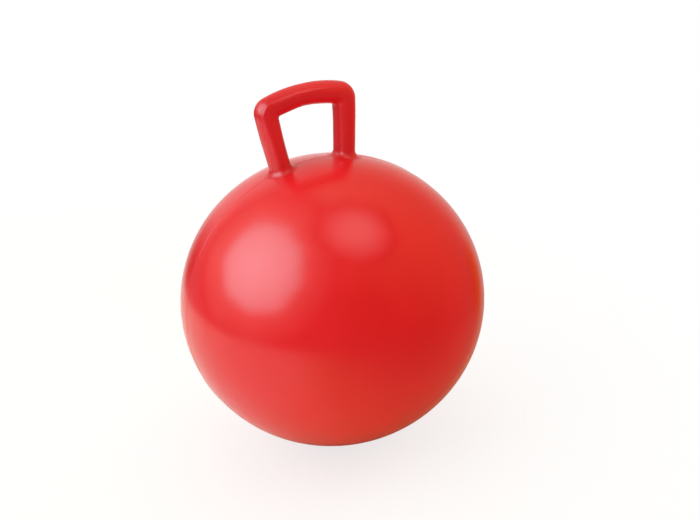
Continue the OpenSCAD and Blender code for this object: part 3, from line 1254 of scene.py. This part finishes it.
@dataclass
class Studio:
    """Pale floor, white surroundings, soft lamps and the camera.

    Attributes:
        ball: the ball that the camera was fitted to.
        floor_radius: radius of the sheet on the floor.
        floor_middle: middle of the sheet, left of and behind the ball.
        floor_z: height of the sheet, a little under the ball.
        room: brightness of the dim room away from its glows, where 1 is white.
        camera_turn: the camera's place round the ball, in degrees from the front towards +X.
        camera_rise: its elevation, in degrees.
        camera_roll: how far the picture's up leans to the right of the ball's, in degrees.
        camera_away: its distance from the ball's middle, in half widths of the ball.
        picture: the photograph's width and height in pixels.
        ball_at: where the ball's middle lies in it.
        focal: focal length in pixels.
    """

    ball: Ball
    floor_radius: float = 1.5
    floor_middle: tuple[float, float] = (-0.75, 0.35)
    floor_z: float = -0.1 * MM
    room: float = 0.18
    camera_turn: float = -20.64
    camera_rise: float = 22.45
    camera_roll: float = 8.13
    camera_away: float = 7.0
    picture: tuple[int, int] = (700, 520)
    ball_at: tuple[float, float] = (332.25, 298.65)
    focal: float = 1056.5

    def camera(self) -> bpy.types.Object:
        """Aims the camera at the ball's middle, and shifts its frame to the photograph's crop.

        Returns:
            The camera.
        """
        back, level, upright = axes_at(self.camera_turn, self.camera_rise)
        roll = math.radians(self.camera_roll)
        right = level * math.cos(roll) - upright * math.sin(roll)
        up = upright * math.cos(roll) + level * math.sin(roll)
        wide, high = self.picture
        place = Vector(self.ball.middle + back * (self.camera_away * self.ball.half_width))
        lens = bpy.data.cameras.new("photo_camera")
        lens.sensor_fit = "HORIZONTAL"
        lens.sensor_width = 36.0
        lens.lens = self.focal * lens.sensor_width / wide
        lens.shift_x = (wide / 2 - self.ball_at[0]) / wide
        lens.shift_y = (self.ball_at[1] - high / 2) / wide
        camera = bpy.data.objects.new("photo_camera", lens)
        turned = Matrix(np.stack([right, up, back], axis=1).tolist()).to_4x4()
        camera.matrix_world = Matrix.Translation(place) @ turned
        bpy.context.scene.collection.objects.link(camera)
        bpy.context.scene.camera = camera
        return camera

    def floor(self) -> bpy.types.Object:
        """Makes a round sheet of white paper under the ball that fades out towards its edge.

        Returns:
            The sheet.
        """
        rings, columns = 40, 128
        p = np.linspace(0, 2 * math.pi, columns, endpoint=False)
        r = np.linspace(0.01, 1.0, rings)[:, None] * self.floor_radius
        x, y = self.floor_middle
        points = np.stack([x + r * np.cos(p), y + r * np.sin(p), 0 * r * p + self.floor_z], axis=-1)
        sheet = Surface(points[::-1], end_closed=True).build("floor_sheet", self.paper())
        return sheet

    def paper(self) -> bpy.types.Material:
        """White studio paper: dead matt, and it keeps the object's shadow.

        To the camera it is one part lit paper and three parts plain white, which keeps that shadow
        pale. Mirrored in gloss it is painted dimmer and warmer towards the right and the front: a painted
        shadow with a warm tint, in place of the ball's shadow and the dark room there. Towards its edge it
        fades into the white all round.

        Returns:
            The sheet's material.
        """
        material, tree = empty_material("studio_paper")
        place = add_node(tree, "ShaderNodeTexCoord").outputs["Object"]
        centred = add_node(tree, "ShaderNodeVectorMath", {0: place, 1: (*self.floor_middle, 0.0)},
                           operation="SUBTRACT")
        away = add_node(tree, "ShaderNodeVectorMath", {0: centred.outputs[0]}, operation="LENGTH")
        shown = add_node(tree, "ShaderNodeMapRange", {
            "Value": away.outputs[1], 1: 0.55 * self.floor_radius, 2: 0.98 * self.floor_radius,
            3: 1.0, 4: 0.0})
        seen, glossy = ray_kinds(tree)
        # Painted shade in the gloss only: the mirrored paper is painted darker and warmer towards the
        # right and front, in place of the ball's shadow there
        to_right = (0.8, -0.6, 0.0)
        painted_shadow_share = rise_along(tree, place, to_right, (-0.1, 0.35), (0.15, 0.75))
        warm = rise_along(tree, place, to_right, (-0.2, 0.1))
        shade: Socket | tuple[float, ...] = linear("F7F7F7")
        for share, colour, blend in ((painted_shadow_share, "6E5A46", "MIX"), (warm, "FFF4A4", "MULTIPLY")):
            in_gloss = add_node(tree, "ShaderNodeMath", {0: glossy, 1: share}, operation="MULTIPLY")
            shade = add_node(tree, "ShaderNodeMix", {0: in_gloss.outputs[0], 6: shade, 7: linear(colour)},
                             data_type="RGBA", blend_type=blend).outputs[2]
        paper = add_node(tree, "ShaderNodeBsdfDiffuse", {"Color": shade})
        white = add_node(tree, "ShaderNodeEmission", {"Color": linear("FFFFFF"), "Strength": 1.0})
        white_share = add_node(tree, "ShaderNodeMath", {0: seen, 1: 0.75}, operation="MULTIPLY")
        lit = add_node(tree, "ShaderNodeMixShader", {
            0: white_share.outputs[0], 1: paper.outputs[0], 2: white.outputs[0]})
        clear = add_node(tree, "ShaderNodeBsdfTransparent")
        sheet = add_node(tree, "ShaderNodeMixShader", {
            0: shown.outputs[0], 1: clear.outputs[0], 2: lit.outputs[0]})
        add_node(tree, "ShaderNodeOutputMaterial", {"Surface": sheet.outputs[0]})
        return material

    def surroundings(self) -> None:
        """White studio: white to the camera, and else bright above and behind the ball, dim in front.

        Its brightness is the sum of the glows on a dim room. It is warm towards the front right, and
        a wooden door stands at the right. The camera, and glass if there were any, sees it white all
        round, and gloss sees it white where the backdrop stands behind the ball.
        """
        world = bpy.data.worlds.new("studio")
        world.use_nodes = True
        world.node_tree.nodes.clear()
        tree = world.node_tree
        way = add_node(tree, "ShaderNodeTexCoord").outputs["Generated"]
        total: Socket | float = self.room
        for glow in self.glows():
            total = glow.add_to(tree, way, total)
        seen, glossy = ray_kinds(tree)
        backdrop = rise_along(tree, way, (0.35, 0.93, -0.1), (0.97, 0.995))
        in_gloss = add_node(tree, "ShaderNodeMath", {0: glossy, 1: backdrop}, operation="MULTIPLY")
        white = add_node(tree, "ShaderNodeMath", {0: seen, 1: in_gloss.outputs[0]},
                         operation="MAXIMUM").outputs[0]
        warm = rise_along(tree, way, (0.64, -0.64, 0.42), (-0.3, 0.9))
        door = rise_along(tree, way, (0.885, 0.376, -0.276), (0.972, 0.992))
        tint: Socket | tuple[float, ...] = linear("FFF8F4")
        for share, colour in ((warm, "FFE198"), (door, "FFC03C"), (white, "FFFFFF")):
            tint = add_node(tree, "ShaderNodeMix", {0: share, 6: tint, 7: linear(colour)},
                            data_type="RGBA").outputs[2]
        strength = add_node(tree, "ShaderNodeMix", {0: white, 2: total, 3: 1.0}, data_type="FLOAT")
        light = add_node(tree, "ShaderNodeBackground", {"Color": tint, "Strength": strength.outputs[0]})
        add_node(tree, "ShaderNodeOutputWorld", {"Surface": light.outputs[0]})
        world.cycles.sampling_method = "NONE"
        bpy.context.scene.world = world

    def glows(self) -> list[Glow]:
        """The room's patches of light and shade.

        Returns:
            The walls, the ceiling, a patch up behind at the left, the backdrop, a window at the right,
            a dark gap beside the backdrop and a patch over the ball.
        """
        return [
            Glow((0.25, 0.8, 0.55), -0.74, 0.9, 0.16, 3.0),
            Glow((0.0, 0.0, 1.0), 0.0, 1.0, 0.58, 4.0),
            Glow((-0.16, 0.86, 0.49), 0.90, 1.0, 0.22),
            Glow((0.35, 0.93, -0.1), 0.65, 0.98, 0.40),
            Glow((0.757, -0.337, 0.559), 0.6, 1.0, 0.24),
            Glow((-0.242, 0.970, -0.035), 0.97, 1.0, -0.42),
            Glow((0.268, 0.155, 0.951), 0.94, 1.0, 0.18),
        ]

    def panels(self) -> list[Panel]:
        """The lit cloths: an eight-sided soft box at the left and a small lamp over the front."""
        return [
            Panel("soft_box_cloth", azimuth=-87, elevation=41, distance=2.0, half_size=1.46, corners=8,
                  turn=8, strength=5.4, fade=0.32, tint="9CEEF4", long=0.20, long_at=-18,
                  hot=(0.03, 0.0), fall=1.05, spill=0.155, reach=2.2),
            Panel("top_lamp_cloth", azimuth=34, elevation=65, distance=2.2, half_size=1.17, corners=8,
                  turn=0, strength=1.95, fade=0.85, tint="F4F4F0"),
        ]

    def lamps(self) -> list[SoftLamp]:
        """The lamps that light the ball from the left, and more softly from all round."""
        return [
            SoftLamp("lamp_left", -94, 36, 0.425),
            SoftLamp("lamp_top", 0, 82, 0.22),
            SoftLamp("lamp_front", -8, -2, 0.33),
            SoftLamp("lamp_right", 90, 0, 0.45),
            SoftLamp("lamp_back", 175, 30, 0.22),
        ]

    def build(self) -> None:
        """Sets up the camera, the floor, the lamps and the surroundings."""
        self.camera()
        self.floor()
        self.surroundings()
        for light in [*self.panels(), *self.lamps()]:
            light.build(self.ball.middle)
        bpy.context.scene.view_settings.view_transform = "Standard"


# Main

def main() -> None:
    """Builds the sub-assemblies in order and reports each piece."""
    logging.basicConfig(level=logging.INFO, format="%(name)s: %(message)s")
    ball = Ball.from_frame()
    top_z = ball.middle_z + ball.half_height
    skin_vinyl = MouldedVinyl(
        "rotation_moulded_pvc_gloss", "E61720", "E1141D", roughness=0.18, roughness_spread=0.02,
        peel_mm=4.0, peel_deep=0.10, wave_mm=45.0, wave_deep=0.05, haze=0.22,
        scuff=1.5, scuff_from=top_z - 75 * MM, scuff_to=top_z - 20 * MM)
    # Painted shade: the grip is the same vinyl as the skin, and its reds are set darker and bluer than the
    # skin's to paint in the tube's shade
    grip_vinyl = MouldedVinyl(
        "rotation_moulded_pvc_satin", "E21D27", "D41925", roughness=0.235, roughness_spread=0.025,
        peel_mm=2.5, peel_deep=0.30, wave_mm=14.0, wave_deep=0.30, streak=1.0)
    bush_vinyl = MouldedVinyl(
        "soft_pvc_bush", "B5262A", "A82226", roughness=0.46, roughness_spread=0.06,
        peel_mm=1.6, peel_deep=0.25, wave_mm=8.0, wave_deep=0.1)
    plug_vinyl = PressedVinyl(
        "pressed_pvc_ivory", "E6DFC8", "D9CDA8", "8A7F6E", roughness=0.38,
        middle=(0.0, 0.0, ball.middle_z), film_from=5.5 * MM, film_to=9.0 * MM)
    handle = Handle.from_frame(ball)
    valve = Valve.from_frame(ball)
    pieces = [ball.build(skin_vinyl), handle.build(grip_vinyl), *valve.build(bush_vinyl, plug_vinyl)]
    for piece in pieces:
        log.info("%s: %d faces", piece.name, len(piece.data.polygons))
    Studio(ball).build()


if __name__ == "__main__":
    main()
